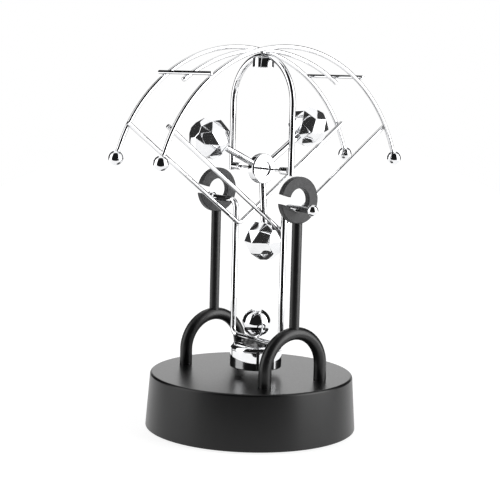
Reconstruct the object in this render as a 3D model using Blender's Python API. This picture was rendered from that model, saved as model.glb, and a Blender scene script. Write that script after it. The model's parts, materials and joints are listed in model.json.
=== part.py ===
"""Perpetual-motion desk toy: a chrome wire pendulum with a spinning rotor, hung on a round battery base.

World frame: +Z up, X across the toy, Y along the pivot pins, front = -Y. The origin is the centre of
the surface that the toy stands on. Lengths are metres. The pendulum's own dimensions are measured from
its pivot axis and its mid-plane, and the rotor's from its axle.
"""

import math

import bmesh
import bpy
from mathutils import Matrix, Vector

MM = 0.001
GAP = 0.3 * MM  # left between pieces that touch

# Base
BASE_HEIGHT = 29.2 * MM
BASE_RADIUS = 55.0 * MM
BASE_TOP_RADIUS = 52.9 * MM
BASE_EDGE = 1.3 * MM
BASE_WALL = 2.4 * MM
BASE_TOP_PLATE = 2.6 * MM
FLOOR_CLEARANCE = 0.8 * MM  # housing and cover above the surface, on the rubber feet
COVER_THICKNESS = 2.0 * MM
FOOT_RADIUS = 4.0 * MM
FOOT_HEIGHT = 1.6 * MM
FOOT_CIRCLE = 47.2 * MM
BOSS_RADIUS = 3.5 * MM
BOSS_CIRCLE = 44.0 * MM
BOSS_ANGLES = (90, 210, 330)
SCREW_SHANK = 1.25 * MM
SCREW_HOLE = 1.6 * MM
COVER_SCREW_HEAD = 2.6 * MM
COVER_SCREW_LENGTH = 13.5 * MM
ARCH_SCREW_HEAD = 2.8 * MM
ARCH_SCREW_LENGTH = 13.0 * MM

# Battery compartment
CELL_RADIUS = 7.1 * MM
CELL_LENGTH = 50.2 * MM
CELL_PITCH = 15.2 * MM
CELL_Z = 10.6 * MM
TRAY_HALF = (30.9 * MM, 28.6 * MM)
TRAY_WALL = 1.5 * MM
TRAY_TOP = 17.8 * MM
DOOR_GAP = 0.5 * MM
DOOR_THICKNESS = 1.8 * MM

# Drive coil under the middle of the base's top
COIL_RADIUS = 15.0 * MM
COIL_CORE = 3.1 * MM
COIL_HEIGHT = 8.0 * MM

# Supports: a foot arch, a post and an open pivot ring, front and rear
SUPPORT_Y = 33.8 * MM
ARCH_HALF_SPAN = 18.1 * MM
ARCH_TUBE = 3.25 * MM
ARCH_RISE = 25.95 * MM
POST_RADIUS = 2.6 * MM
RING_Z = 122.5 * MM
RING_OUTER = 11.8 * MM
RING_INNER = 6.0 * MM
RING_THICKNESS = 3.3 * MM
RING_UPPER_JAW = 164  # degrees, from +X towards +Z
RING_LOWER_TIP = 187
RING_LOWER_ROOT = 235

# Pendulum, from the pivot axis and its own mid-plane
PENDULUM_Y = -3.4 * MM  # it lies slid forward on its pins
LOOP_WIRE = 1.5 * MM
LOOP_Y = 20.0 * MM
LOOP_BOTTOM = -71.6 * MM
LOOP_BEND = 4.5 * MM
PIN_BALL = 2.9 * MM
PIN_BALL_Y = 41.5 * MM
ARC_WIRE = 1.1 * MM
ARC_RADIUS = 78.4 * MM
ARC_CENTRE = 1.5 * MM
ARC_Y = 19.6 * MM
ARC_END = 16.1  # degrees above the horizontal
V_WIRE = 1.1 * MM
V_ROOT = -13.1 * MM
V_TOP = (69.7 * MM, 39.9 * MM)
TIP_BALL = 3.8 * MM
BAR_WIRE = 0.95 * MM
BAR_ANGLE = 52.8
BAR_HALF = 22.3 * MM
MIDDLE_APEX = 78.2 * MM
MIDDLE_OVERHANG = 3.2 * MM
AXLE_ARCH_WIRE = 1.5 * MM
AXLE_ARCH_Y = 24.3 * MM
CROWN_RADIUS = 5.5 * MM
CROWN_HEIGHT = 5.4 * MM
CROWN_SEAT = 0.8 * MM  # how far the weight stands up past the underside of the arch's crown
LOOP_BALL = 7.5 * MM
MAGNET_RADIUS = 13.5 * MM
MAGNET_HEIGHT = 12.0 * MM
MAGNET_WALL = 1.6 * MM

# Rotor, on its axle above the pivot
AXLE_Z = 18.0 * MM
AXLE_RADIUS = 0.65 * MM
AXLE_HALF = 20.2 * MM
BEARING_RADIUS = 1.95 * MM
BEARING_LENGTH = 6.0 * MM
HUB_Y = -1.0 * MM
HUB_RADIUS = 7.7 * MM
HUB_THICKNESS = 4.6 * MM
ARM_RADIUS = 1.7 * MM
ROTOR_ORBIT = 37.2 * MM
ROTOR_BALL = 10.75 * MM
ROTOR_REST_TURN = 5  # degrees that the lowest ball stands off the vertical

# Worked out from the above
PIVOT_Z = RING_Z - RING_INNER + LOOP_WIRE + GAP
INNER_TOP = BASE_HEIGHT - BASE_TOP_PLATE
ARCH_TOP = BASE_HEIGHT + ARCH_RISE
COVER_TOP = FLOOR_CLEARANCE + COVER_THICKNESS
V_Y = ARC_Y - ARC_WIRE - V_WIRE - GAP


# ---------------------------------------------------------------- helpers

def material(name, colour, metallic, roughness):
    made = bpy.data.materials.new(name)
    made.use_nodes = True
    shader = made.node_tree.nodes["Principled BSDF"]
    shader.inputs["Base Color"].default_value = (*colour, 1)
    shader.inputs["Metallic"].default_value = metallic
    shader.inputs["Roughness"].default_value = roughness
    made.diffuse_color = (*colour, 1)
    return made


def keep(name, mesh_data, look, at=(0, 0, 0), parent=None, smooth=True):
    """A mesh object from bmesh data in world coordinates, with its origin at a point."""
    mesh_data.transform(Matrix.Translation(-Vector(at)))
    bmesh.ops.recalc_face_normals(mesh_data, faces=mesh_data.faces)
    mesh = bpy.data.meshes.new(name)
    mesh_data.to_mesh(mesh)
    mesh_data.free()
    mesh.materials.append(look)
    obj = bpy.data.objects.new(name, mesh)
    bpy.context.scene.collection.objects.link(obj)
    obj.location = at
    if parent:
        obj.parent = parent
        obj.matrix_parent_inverse = Matrix.Translation(-parent.location)
    if smooth:
        mesh.shade_smooth()
        mesh.set_sharp_from_angle(angle=math.radians(35))
    return obj


def lathe(profile, segments, at=(0, 0, 0), axis=(0, 0, 1)):
    """A closed solid of revolution. The profile is (radius, height) and runs pole to pole or round."""
    turned = bmesh.new()
    rings = []
    for radius, height in profile:
        if radius == 0:
            rings.append([turned.verts.new((0, 0, height))])
            continue
        turns = (2 * math.pi * k / segments for k in range(segments))
        rings.append([turned.verts.new((radius * math.cos(t), radius * math.sin(t), height)) for t in turns])
    pairs = list(zip(rings, rings[1:]))
    if profile[0][0] and profile[-1][0]:
        pairs.append((rings[-1], rings[0]))
    for first, second in pairs:
        for k in range(segments):
            n = (k + 1) % segments
            if len(first) == 1:
                turned.faces.new((first[0], second[k], second[n]))
            elif len(second) == 1:
                turned.faces.new((first[k], first[n], second[0]))
            else:
                turned.faces.new((first[k], first[n], second[n], second[k]))
    turn = Vector((0, 0, 1)).rotation_difference(Vector(axis)).to_matrix().to_4x4()
    turned.transform(Matrix.Translation(at) @ turn)
    return turned


def rod(radius, start, end, segments=16):
    """A cylinder between two points."""
    start = Vector(start)
    run = Vector(end) - start
    profile = [(0, 0), (radius, 0), (radius, run.length), (0, run.length)]
    return lathe(profile, segments, start, run.normalized())


def block(low, high):
    """A box between two corners."""
    low = Vector(low)
    size = Vector(high) - low
    made = bmesh.new()
    place = Matrix.Translation(low + size / 2) @ Matrix.Diagonal((*size, 1))
    bmesh.ops.create_cube(made, size=1, matrix=place)
    return made


def wire(path, radius, sides=10):
    """A round wire swept along a plane path, closed with flat ends."""
    path = [Vector(p) for p in path]
    swept = bmesh.new()
    across = None
    rings = []
    for k, point in enumerate(path):
        before = path[max(k - 1, 0)]
        after = path[min(k + 1, len(path) - 1)]
        ahead = (after - before).normalized()
        if across is None:
            across = ahead.orthogonal().normalized()
        across = (across - ahead * across.dot(ahead)).normalized()
        beside = ahead.cross(across)
        ring = []
        for s in range(sides):
            turn = 2 * math.pi * (s + 0.5) / sides
            ring.append(swept.verts.new(point + radius * (across * math.cos(turn) + beside * math.sin(turn))))
        rings.append(ring)
    for first, second in zip(rings, rings[1:]):
        for s in range(sides):
            n = (s + 1) % sides
            swept.faces.new((first[s], first[n], second[n], second[s]))
    swept.faces.new(reversed(rings[0]))
    swept.faces.new(rings[-1])
    return swept


def bent(corners, radius, steps=5):
    """The path through these corners, with each inner one rounded to the bend radius."""
    corners = [Vector(c) for c in corners]
    path = [corners[0]]
    for before, corner, after in zip(corners, corners[1:], corners[2:]):
        into = (before - corner).normalized()
        out = (after - corner).normalized()
        half = into.angle(out) / 2
        centre = corner + (into + out).normalized() * radius / math.sin(half)
        first = corner + into * radius / math.tan(half) - centre
        last = corner + out * radius / math.tan(half) - centre
        sweep = first.angle(last)
        for k in range(steps + 1):
            part = k / steps
            mix = first * math.sin((1 - part) * sweep) + last * math.sin(part * sweep)
            path.append(centre + mix / math.sin(sweep))
    path.append(corners[-1])
    return path


def arc(radius, start, end, steps):
    """Points (x, z) on a circle, from one angle to another in degrees."""
    angles = (math.radians(start + (end - start) * k / steps) for k in range(steps + 1))
    return [(radius * math.cos(a), radius * math.sin(a)) for a in angles]


def ball_profile(radius, bore=0, bore_depth=0, steps=12):
    """A ball, with a blind hole from below up to bore_depth above its lowest point if bore is given."""
    if not bore:
        return [(0 if k in (0, steps) else x, z) for k, (x, z) in enumerate(arc(radius, -90, 90, steps))]
    mouth = -math.degrees(math.acos(bore / radius))
    outside = arc(radius, mouth, 90, steps)
    return [(0, bore_depth - radius), (bore, bore_depth - radius), *outside[:-1], (0, radius)]


def boolean(obj, operation, *others):
    """Cuts each shape from the object, or joins it on, at once."""
    for other in others:
        tool = keep("tool", other, obj.data.materials[0])
        tool.hide_render = True
        tool.display_type = "WIRE"
        step = obj.modifiers.new(operation.lower(), "BOOLEAN")
        step.operation = operation
        step.solver = "EXACT"
        step.object = tool
        bpy.context.view_layer.update()
        done = obj.evaluated_get(bpy.context.evaluated_depsgraph_get())
        mesh = bpy.data.meshes.new_from_object(done)
        obj.modifiers.remove(step)
        obj.data = mesh
        bpy.data.objects.remove(tool)
    obj.data.shade_smooth()
    obj.data.set_sharp_from_angle(angle=math.radians(35))
    return obj


def joint_point(name, at, parent=None):
    """An empty on a joint axis, which carries the pieces that move with it."""
    empty = bpy.data.objects.new(name, None)
    bpy.context.scene.collection.objects.link(empty)
    empty.location = at
    if parent:
        empty.parent = parent
        empty.matrix_parent_inverse = Matrix.Translation(-parent.location)
    bpy.context.view_layer.update()
    return empty


def polar(radius, degrees, z=0.0):
    return Vector((radius * math.cos(math.radians(degrees)), radius * math.sin(math.radians(degrees)), z))


# ---------------------------------------------------------------- scene and materials

for old in list(bpy.data.objects):
    bpy.data.objects.remove(old)

BLACK_PLASTIC = material("black_plastic", (0.025, 0.025, 0.027), 0, 0.4)
BLACK_STEEL = material("black_steel", (0.02, 0.02, 0.022), 0.2, 0.32)
GREY_STEEL = material("grey_steel", (0.1, 0.1, 0.105), 0.3, 0.4)
CHROME = material("chrome", (0.82, 0.83, 0.85), 1, 0.05)
PLATED = material("plated_plastic", (0.82, 0.83, 0.85), 1, 0.04)
RUBBER = material("rubber", (0.03, 0.03, 0.03), 0, 0.9)
CELL = material("cell_wrap", (0.12, 0.14, 0.16), 0.2, 0.4)
COPPER = material("copper", (0.72, 0.3, 0.12), 1, 0.3)
NYLON = material("nylon", (0.7, 0.68, 0.62), 0, 0.5)
IRON = material("iron", (0.3, 0.3, 0.3), 1, 0.5)
BOARD = material("board", (0.03, 0.16, 0.06), 0, 0.5)
STEEL = material("steel", (0.6, 0.6, 0.6), 1, 0.3)
FERRITE = material("ferrite", (0.05, 0.05, 0.055), 0.3, 0.6)


# ---------------------------------------------------------------- base

def base_housing():
    low = FLOOR_CLEARANCE
    edge = [
        (BASE_TOP_RADIUS - BASE_EDGE + x, BASE_HEIGHT - BASE_EDGE + z)
        for x, z in arc(BASE_EDGE, 0, 90, 4)
    ]
    inside_low = BASE_RADIUS - BASE_WALL
    inside_high = BASE_TOP_RADIUS - BASE_WALL
    shell = [
        (0, INNER_TOP), (inside_high, INNER_TOP), (inside_low, low),
        (BASE_RADIUS, low), *edge, (0, BASE_HEIGHT),
    ]
    housing = keep("base_housing", lathe(shell, 72), BLACK_PLASTIC)
    for angle in BOSS_ANGLES:
        boss = polar(BOSS_CIRCLE, angle)
        foot = boss + Vector((0, 0, COVER_TOP + GAP))
        top = boss + Vector((0, 0, INNER_TOP + 1 * MM))
        boolean(housing, "UNION", rod(BOSS_RADIUS, foot, top))
        pilot_top = boss + Vector((0, 0, 17 * MM))
        boolean(housing, "DIFFERENCE", rod(SCREW_HOLE, foot - Vector((0, 0, 1 * MM)), pilot_top, 12))
    for y in (-10 * MM, 10 * MM):
        standoff = Vector((-38 * MM, y, 0))
        foot = standoff + Vector((0, 0, 21.9 * MM))
        boolean(housing, "UNION", rod(2.2 * MM, foot, standoff + Vector((0, 0, INNER_TOP + 1 * MM)), 12))
    for x, y in arch_feet():
        boolean(housing, "DIFFERENCE", rod(SCREW_HOLE, (x, y, INNER_TOP - 1 * MM), (x, y, BASE_HEIGHT + 1 * MM), 12))
    return housing


def arch_feet():
    return [(x, y) for y in (-SUPPORT_Y, SUPPORT_Y) for x in (-ARCH_HALF_SPAN, ARCH_HALF_SPAN)]


def foot_places():
    return [polar(FOOT_CIRCLE, angle) for angle in (45, 135, 225, 315)]


def base_cover():
    radius = BASE_RADIUS - BASE_WALL - 0.4 * MM
    low, top = FLOOR_CLEARANCE, COVER_TOP
    cover = keep("base_cover", rod(radius, (0, 0, low), (0, 0, top), 72), BLACK_PLASTIC)
    x, y = TRAY_HALF
    wall = TRAY_WALL
    boolean(cover, "UNION", block((-x - wall, -y - wall, low + 0.5 * MM), (x + wall, y + wall, TRAY_TOP)))
    boolean(cover, "DIFFERENCE", block((-x, -y, low - 1 * MM), (x, y, TRAY_TOP + 1 * MM)))
    finger = rod(7 * MM, (0, -y - 1 * MM, low - 1 * MM), (0, -y - 1 * MM, low + 0.9 * MM), 24)
    boolean(cover, "DIFFERENCE", finger)
    for place in foot_places():
        up = Vector((0, 0, FOOT_HEIGHT + GAP))
        boolean(cover, "DIFFERENCE", rod(FOOT_RADIUS + GAP, place - Vector((0, 0, 1 * MM)), place + up, 20))
    for angle in BOSS_ANGLES:
        seat = low + 1.2 * MM
        stepped = [
            (0, 0), (3.0 * MM, 0), (3.0 * MM, seat), (SCREW_HOLE, seat),
            (SCREW_HOLE, top + 1 * MM), (0, top + 1 * MM),
        ]
        boolean(cover, "DIFFERENCE", lathe(stepped, 12, polar(BOSS_CIRCLE, angle)))
    return cover


def door_hinge_point():
    return Vector((0, TRAY_HALF[1] - DOOR_GAP, FLOOR_CLEARANCE))


def battery_door(hinge):
    x, y = TRAY_HALF[0] - DOOR_GAP, TRAY_HALF[1] - DOOR_GAP
    low = FLOOR_CLEARANCE
    plate = block((-x, -y, low), (x, y, low + DOOR_THICKNESS))
    door = keep("battery_door", plate, BLACK_PLASTIC, door_hinge_point(), hinge, smooth=False)
    for k in range(3):
        at = -y + (4 + 2.4 * k) * MM
        groove = block((-9 * MM, at, low - 1 * MM), (9 * MM, at + 1 * MM, low + 0.5 * MM))
        boolean(door, "DIFFERENCE", groove)
    return door


def cells():
    body = CELL_LENGTH / 2
    nub = 1.2 * MM
    profile = [
        (0, -body),
        (CELL_RADIUS - 0.6 * MM, -body),
        (CELL_RADIUS, -body + 0.6 * MM),
        (CELL_RADIUS, body - nub - 0.6 * MM),
        (CELL_RADIUS - 0.6 * MM, body - nub),
        (2.7 * MM, body - nub),
        (2.7 * MM, body),
        (0, body),
    ]
    for k in range(4):
        at = ((k - 1.5) * CELL_PITCH, 0, CELL_Z)
        way = (0, 1 if k % 2 else -1, 0)
        keep(f"battery_cell_{k + 1}", lathe(profile, 20, at, way), CELL, at)


def contact_strips():
    for name, side in (("front_contact_strip", -1), ("rear_contact_strip", 1)):
        y = side * 27.9 * MM
        half = 0.25 * MM
        strip = keep(name, block((-29.5 * MM, y - half, 4 * MM), (29.5 * MM, y + half, 16.8 * MM)), STEEL)
        for k in range(4):
            x = (k - 1.5) * CELL_PITCH
            tall = Vector((x, side * 26.0 * MM, CELL_Z))
            boolean(strip, "UNION", rod(2.6 * MM, (x, y, CELL_Z), tall, 10))


def drive_coil():
    top = INNER_TOP - GAP
    low = top - COIL_HEIGHT
    flange = 1.0 * MM
    tube = COIL_CORE + GAP
    hub = tube + 1.2 * MM
    bobbin = [
        (tube, low), (COIL_RADIUS, low), (COIL_RADIUS, low + flange), (hub, low + flange),
        (hub, top - flange), (COIL_RADIUS, top - flange), (COIL_RADIUS, top), (tube, top),
    ]
    keep("coil_bobbin", lathe(bobbin, 28), NYLON)
    inside, outside = hub + GAP, COIL_RADIUS - 1.2 * MM
    below, above = low + flange + GAP, top - flange - GAP
    winding = [(inside, below), (outside, below), (outside, above), (inside, above)]
    keep("coil_winding", lathe(winding, 28), COPPER)
    keep("coil_core", rod(COIL_CORE, (0, 0, low), (0, 0, top)), IRON)


def circuit_board():
    low, top = 20.0 * MM, 21.6 * MM
    board = keep("circuit_board", block((-42 * MM, -13 * MM, low), (-19 * MM, 13 * MM, top)), BOARD)
    capacitor = rod(2.5 * MM, (-28 * MM, 4 * MM, low + 0.5 * MM), (-28 * MM, 4 * MM, 26.0 * MM), 12)
    transistor = block((-30 * MM, -7 * MM, low + 0.5 * MM), (-26 * MM, -3 * MM, 25.0 * MM))
    boolean(board, "UNION", capacitor, transistor)


def feet_and_screws():
    for k, place in enumerate(foot_places()):
        top = place + Vector((0, 0, FOOT_HEIGHT))
        keep(f"rubber_foot_{k + 1}", rod(FOOT_RADIUS, place, top, 20), RUBBER, place)
    for k, angle in enumerate(BOSS_ANGLES):
        at = polar(BOSS_CIRCLE, angle, FLOOR_CLEARANCE)
        screw(f"cover_screw_{k + 1}", at, COVER_SCREW_HEAD, 0.8 * MM, COVER_SCREW_LENGTH)
    for k, (x, y) in enumerate(arch_feet()):
        at = (x, y, INNER_TOP - GAP - 2.0 * MM)
        screw(f"arch_screw_{k + 1}", at, ARCH_SCREW_HEAD, 2.0 * MM, ARCH_SCREW_LENGTH)


def screw(name, at, head_radius, head_height, length):
    """A self-tapping screw that points up, with a small drive recess in its head."""
    low = 0.1 * MM
    profile = [
        (0, 0.5 * MM), (1.1 * MM, low), (head_radius, low), (head_radius, head_height),
        (SCREW_SHANK, head_height), (SCREW_SHANK, length), (0, length),
    ]
    keep(name, lathe(profile, 12, at), STEEL, at)


# ---------------------------------------------------------------- supports

def ring_outline():
    """The open ring seen from the front, as (x, z) from its centre."""
    outer = arc(RING_OUTER, RING_UPPER_JAW, RING_LOWER_TIP - 360, 44)
    bore = arc(RING_INNER, RING_LOWER_ROOT - 360, RING_UPPER_JAW, 32)
    tip, root = Vector(outer[-1]), Vector(bore[0])
    crescent = [tip.lerp(root, part) + Vector((0, 0.5 * MM * math.sin(math.pi * part))) for part in (0.35, 0.7)]
    return [*outer, *(tuple(p) for p in crescent), *bore]


def plate(outline, y, thickness, centre_z):
    """An upright plate: an outline in X and Z, with its mid-plane at y."""
    cut = bmesh.new()
    faces = []
    for side in (-1, 1):
        corners = [cut.verts.new((x, y + side * thickness / 2, centre_z + z)) for x, z in outline]
        faces.append(corners)
        cut.faces.new(corners)
    front, back = faces
    for k in range(len(outline)):
        n = (k + 1) % len(outline)
        cut.faces.new((front[k], front[n], back[n], back[k]))
    return cut


def supports():
    for name, y in (("front", -SUPPORT_Y), ("rear", SUPPORT_Y)):
        foot = BASE_HEIGHT + GAP
        spring_line = ARCH_TOP - ARCH_HALF_SPAN
        crown = [(x, y, spring_line + z) for x, z in arc(ARCH_HALF_SPAN, 180, 0, 18)]
        path = [(-ARCH_HALF_SPAN, y, foot), *crown, (ARCH_HALF_SPAN, y, foot)]
        arch = keep(f"{name}_foot_arch", wire(path, ARCH_TUBE, 16), BLACK_STEEL)
        for x in (-ARCH_HALF_SPAN, ARCH_HALF_SPAN):
            boolean(arch, "DIFFERENCE", rod(SCREW_HOLE, (x, y, foot - 1 * MM), (x, y, foot + 9.5 * MM), 12))

        ring_low = RING_Z - RING_OUTER
        post = keep(f"{name}_post", rod(POST_RADIUS, (0, y, ARCH_TOP), (0, y, ring_low - GAP), 20), BLACK_STEEL)
        saddle = rod(ARCH_TUBE + GAP, (-8 * MM, y, ARCH_TOP), (8 * MM, y, ARCH_TOP), 32)
        boolean(post, "DIFFERENCE", saddle)

        ring = plate(ring_outline(), y, RING_THICKNESS, RING_Z)
        keep(f"{name}_pivot_ring", ring, GREY_STEEL)


# ---------------------------------------------------------------- pendulum

def on_pendulum(x, y, z):
    return Vector((x, PENDULUM_Y + y, PIVOT_Z + z))


def tip_ball(name, centre, toward_wire, bore, radius, swing):
    """A ball with a blind hole to its centre for the wire that ends in it."""
    profile = ball_profile(radius, bore, radius, 8)
    return keep(name, lathe(profile, 16, centre, -Vector(toward_wire)), CHROME, swing.location, swing)


def swing_loop(swing):
    end = PIN_BALL_Y - GAP
    corners = [(0, -end, 0), (0, -LOOP_Y, 0), (0, -LOOP_Y, LOOP_BOTTOM)]
    corners += [(x, -y, z) for x, y, z in reversed(corners)]
    path = bent([on_pendulum(*c) for c in corners], LOOP_BEND)
    keep("swing_loop", wire(path, LOOP_WIRE, 12), CHROME, swing.location, swing)
    for name, side in (("front_pin_ball", -1), ("rear_pin_ball", 1)):
        centre = on_pendulum(0, side * PIN_BALL_Y, 0)
        tip_ball(name, centre, (0, -side, 0), LOOP_WIRE + GAP, PIN_BALL, swing)


def v_wires(swing):
    x, z = V_TOP
    for name, side in (("front_v_wire", -1), ("rear_v_wire", 1)):
        corners = [(-x, side * V_Y, z), (0, side * V_Y, V_ROOT), (x, side * V_Y, z)]
        path = bent([on_pendulum(*c) for c in corners], 3 * MM, 4)
        keep(name, wire(path, V_WIRE, 8), CHROME, swing.location, swing)


def arcs_and_tips(swing):
    for name, side in (("front", -1), ("rear", 1)):
        y = side * ARC_Y
        short = math.degrees(GAP / ARC_RADIUS)
        points = arc(ARC_RADIUS, 180 - ARC_END - short, ARC_END + short, 36)
        path = [on_pendulum(x, y, ARC_CENTRE + z) for x, z in points]
        keep(f"{name}_arc", wire(path, ARC_WIRE, 8), CHROME, swing.location, swing)
        for hand, angle in (("left", 180 - ARC_END), ("right", ARC_END)):
            x, z = arc(ARC_RADIUS, angle, angle, 1)[0]
            turn = 1 if hand == "right" else -1
            along = (-turn * math.sin(math.radians(angle)), 0, turn * math.cos(math.radians(angle)))
            centre = on_pendulum(x, y, ARC_CENTRE + z)
            tip_ball(f"{name}_{hand}_tip_ball", centre, along, ARC_WIRE + 0.4 * MM, TIP_BALL, swing)


def crown(swing):
    bar_radius = ARC_RADIUS + ARC_WIRE + BAR_WIRE + GAP
    for name, angle in (("left_cross_bar", 180 - BAR_ANGLE), ("right_cross_bar", BAR_ANGLE)):
        x, z = arc(bar_radius, angle, angle, 1)[0]
        ends = [on_pendulum(x, y, ARC_CENTRE + z) for y in (-BAR_HALF, BAR_HALF)]
        keep(name, rod(BAR_WIRE, *ends, 10), CHROME, swing.location, swing)

    # The middle arc is flatter than the outer two, and passes just under both bars.
    under_x, under_z = arc(ARC_RADIUS, BAR_ANGLE, BAR_ANGLE, 1)[0]
    sagitta = MIDDLE_APEX - ARC_CENTRE - under_z
    radius = (under_x ** 2 + sagitta ** 2) / (2 * sagitta)
    half = math.degrees(math.asin(under_x / radius) + MIDDLE_OVERHANG / radius)
    path = [on_pendulum(x, 0, MIDDLE_APEX - radius + z) for x, z in arc(radius, 90 + half, 90 - half, 20)]
    keep("middle_arc", wire(path, ARC_WIRE, 8), CHROME, swing.location, swing)

    top = MIDDLE_APEX - ARC_WIRE - GAP - AXLE_ARCH_WIRE
    low = AXLE_Z - 2.4 * MM
    curve = [(0, x, top - AXLE_ARCH_Y + z) for x, z in arc(AXLE_ARCH_Y, 180, 0, 20)]
    path = [on_pendulum(*p) for p in [(0, -AXLE_ARCH_Y, low), *curve, (0, AXLE_ARCH_Y, low)]]
    keep("axle_arch", wire(path, AXLE_ARCH_WIRE, 10), CHROME, swing.location, swing)

    # The weight's top is grooved to seat the arch's crown.
    under = top - AXLE_ARCH_WIRE + CROWN_SEAT
    edge = 0.5 * MM
    weight = [
        (0, -CROWN_HEIGHT), (CROWN_RADIUS - edge, -CROWN_HEIGHT), (CROWN_RADIUS, edge - CROWN_HEIGHT),
        (CROWN_RADIUS, -edge), (CROWN_RADIUS - edge, 0), (0, 0),
    ]
    hung = keep("crown_weight", lathe(weight, 20, on_pendulum(0, 0, under)), CHROME, swing.location, swing)
    boolean(hung, "DIFFERENCE", wire(path, AXLE_ARCH_WIRE + GAP, 10))

    outer = AXLE_ARCH_Y - AXLE_ARCH_WIRE - GAP
    bore = AXLE_RADIUS + GAP
    for name, side in (("front_axle_bearing", -1), ("rear_axle_bearing", 1)):
        bearing = [
            (0, BEARING_LENGTH - 1 * MM), (bore, BEARING_LENGTH - 1 * MM), (bore, 0),
            (BEARING_RADIUS - 0.3 * MM, 0), (BEARING_RADIUS, 0.3 * MM),
            (BEARING_RADIUS, BEARING_LENGTH), (0, BEARING_LENGTH),
        ]
        mouth = on_pendulum(0, side * (outer - BEARING_LENGTH), AXLE_Z)
        keep(name, lathe(bearing, 14, mouth, (0, side, 0)), CHROME, swing.location, swing)


def magnet(swing):
    """The loop's lower end: a ball standing on the wire, and the magnet in its cup below."""
    rest = LOOP_BOTTOM + LOOP_WIRE + GAP
    centre = on_pendulum(0, 0, rest + LOOP_BALL)
    keep("loop_ball", lathe(ball_profile(LOOP_BALL), 24, centre), CHROME, swing.location, swing)

    top = LOOP_BOTTOM - LOOP_WIRE - GAP
    low = top - MAGNET_HEIGHT
    inner = MAGNET_RADIUS - MAGNET_WALL
    ceiling = top - MAGNET_WALL
    rim = 2.2 * MM
    shoulder = [(MAGNET_RADIUS - rim + x, top - rim + z) for x, z in arc(rim, 0, 90, 5)]
    cup = [
        (0, ceiling), (inner, ceiling), (inner, low), (MAGNET_RADIUS - 0.5 * MM, low),
        (MAGNET_RADIUS, low + 0.5 * MM), *shoulder, (0, top),
    ]
    keep("magnet_cup", lathe(cup, 32, on_pendulum(0, 0, 0)), CHROME, swing.location, swing)
    disc = rod(inner - GAP, on_pendulum(0, 0, low + 0.5 * MM), on_pendulum(0, 0, ceiling - GAP), 28)
    keep("drive_magnet", disc, FERRITE, swing.location, swing)


# ---------------------------------------------------------------- rotor

def faceted_ball(centre, toward_hub):
    """A cut ball: rings of flat triangles between two flat eight-sided ends, with a hole for its arm."""
    sectors = 8
    cut = bmesh.new()
    for ring, latitude in enumerate((-66, -34, 0, 34, 66)):
        for k in range(sectors):
            turn = 2 * math.pi * (k + 0.5 * (ring % 2)) / sectors
            high = math.radians(latitude)
            flat = ROTOR_BALL * math.cos(high)
            cut.verts.new((flat * math.cos(turn), flat * math.sin(turn), ROTOR_BALL * math.sin(high)))
    bmesh.ops.convex_hull(cut, input=cut.verts)
    turn = Vector((0, 0, -1)).rotation_difference(Vector(toward_hub)).to_matrix().to_4x4()
    cut.transform(Matrix.Translation(centre) @ turn)
    return cut


def rotor(spin):
    middle = on_pendulum(0, HUB_Y, AXLE_Z)
    ends = [on_pendulum(0, y, AXLE_Z) for y in (-AXLE_HALF, AXLE_HALF)]
    keep("rotor_axle", rod(AXLE_RADIUS, *ends, 10), CHROME, spin.location, spin)
    half, bore, recess = HUB_THICKNESS / 2, AXLE_RADIUS + GAP, 4.1 * MM
    edge = 0.4 * MM
    floor = half - 0.7 * MM
    hub = [
        (bore, -floor), (recess, -floor), (recess, -half), (HUB_RADIUS - edge, -half), (HUB_RADIUS, edge - half),
        (HUB_RADIUS, half - edge), (HUB_RADIUS - edge, half), (recess, half), (recess, floor), (bore, floor),
    ]
    keep("rotor_hub", lathe(hub, 30, middle, (0, 1, 0)), CHROME, spin.location, spin)
    for k in range(3):
        angle = math.radians(-90 + 120 * k + ROTOR_REST_TURN)
        out = Vector((math.cos(angle), 0, math.sin(angle)))
        arm_end = ROTOR_ORBIT - 6 * MM
        arm = rod(ARM_RADIUS, middle + out * (HUB_RADIUS + GAP), middle + out * arm_end, 12)
        keep(f"rotor_arm_{k + 1}", arm, CHROME, spin.location, spin)
        centre = middle + out * ROTOR_ORBIT
        name = f"rotor_ball_{k + 1}"
        ball = keep(name, faceted_ball(centre, -out), PLATED, spin.location, spin, smooth=False)
        hole = rod(ARM_RADIUS + GAP, centre - out * (ROTOR_BALL + 1 * MM), centre - out * (6 * MM - GAP), 12)
        boolean(ball, "DIFFERENCE", hole)
        ball.data.shade_flat()


def main():
    base_housing()
    base_cover()
    battery_door(joint_point("battery_door_hinge", door_hinge_point()))
    cells()
    contact_strips()
    drive_coil()
    circuit_board()
    feet_and_screws()
    supports()
    swing = joint_point("pendulum_swing", Vector((0, 0, PIVOT_Z)))
    swing_loop(swing)
    v_wires(swing)
    arcs_and_tips(swing)
    crown(swing)
    magnet(swing)
    spin = joint_point("rotor_spin", Vector((0, 0, PIVOT_Z + AXLE_Z)), swing)
    rotor(spin)


main()
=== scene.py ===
"""Looks of the perpetual-motion desk toy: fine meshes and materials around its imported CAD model.

Lengths are metres in the CAD frame: +Z up, X across the toy, Y along its pivot pins, front = -Y.
Places come from the frame; section sizes that a box can't give are named below.
"""

import json
import math

import bmesh
import bpy
from mathutils import Matrix, Vector


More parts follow.
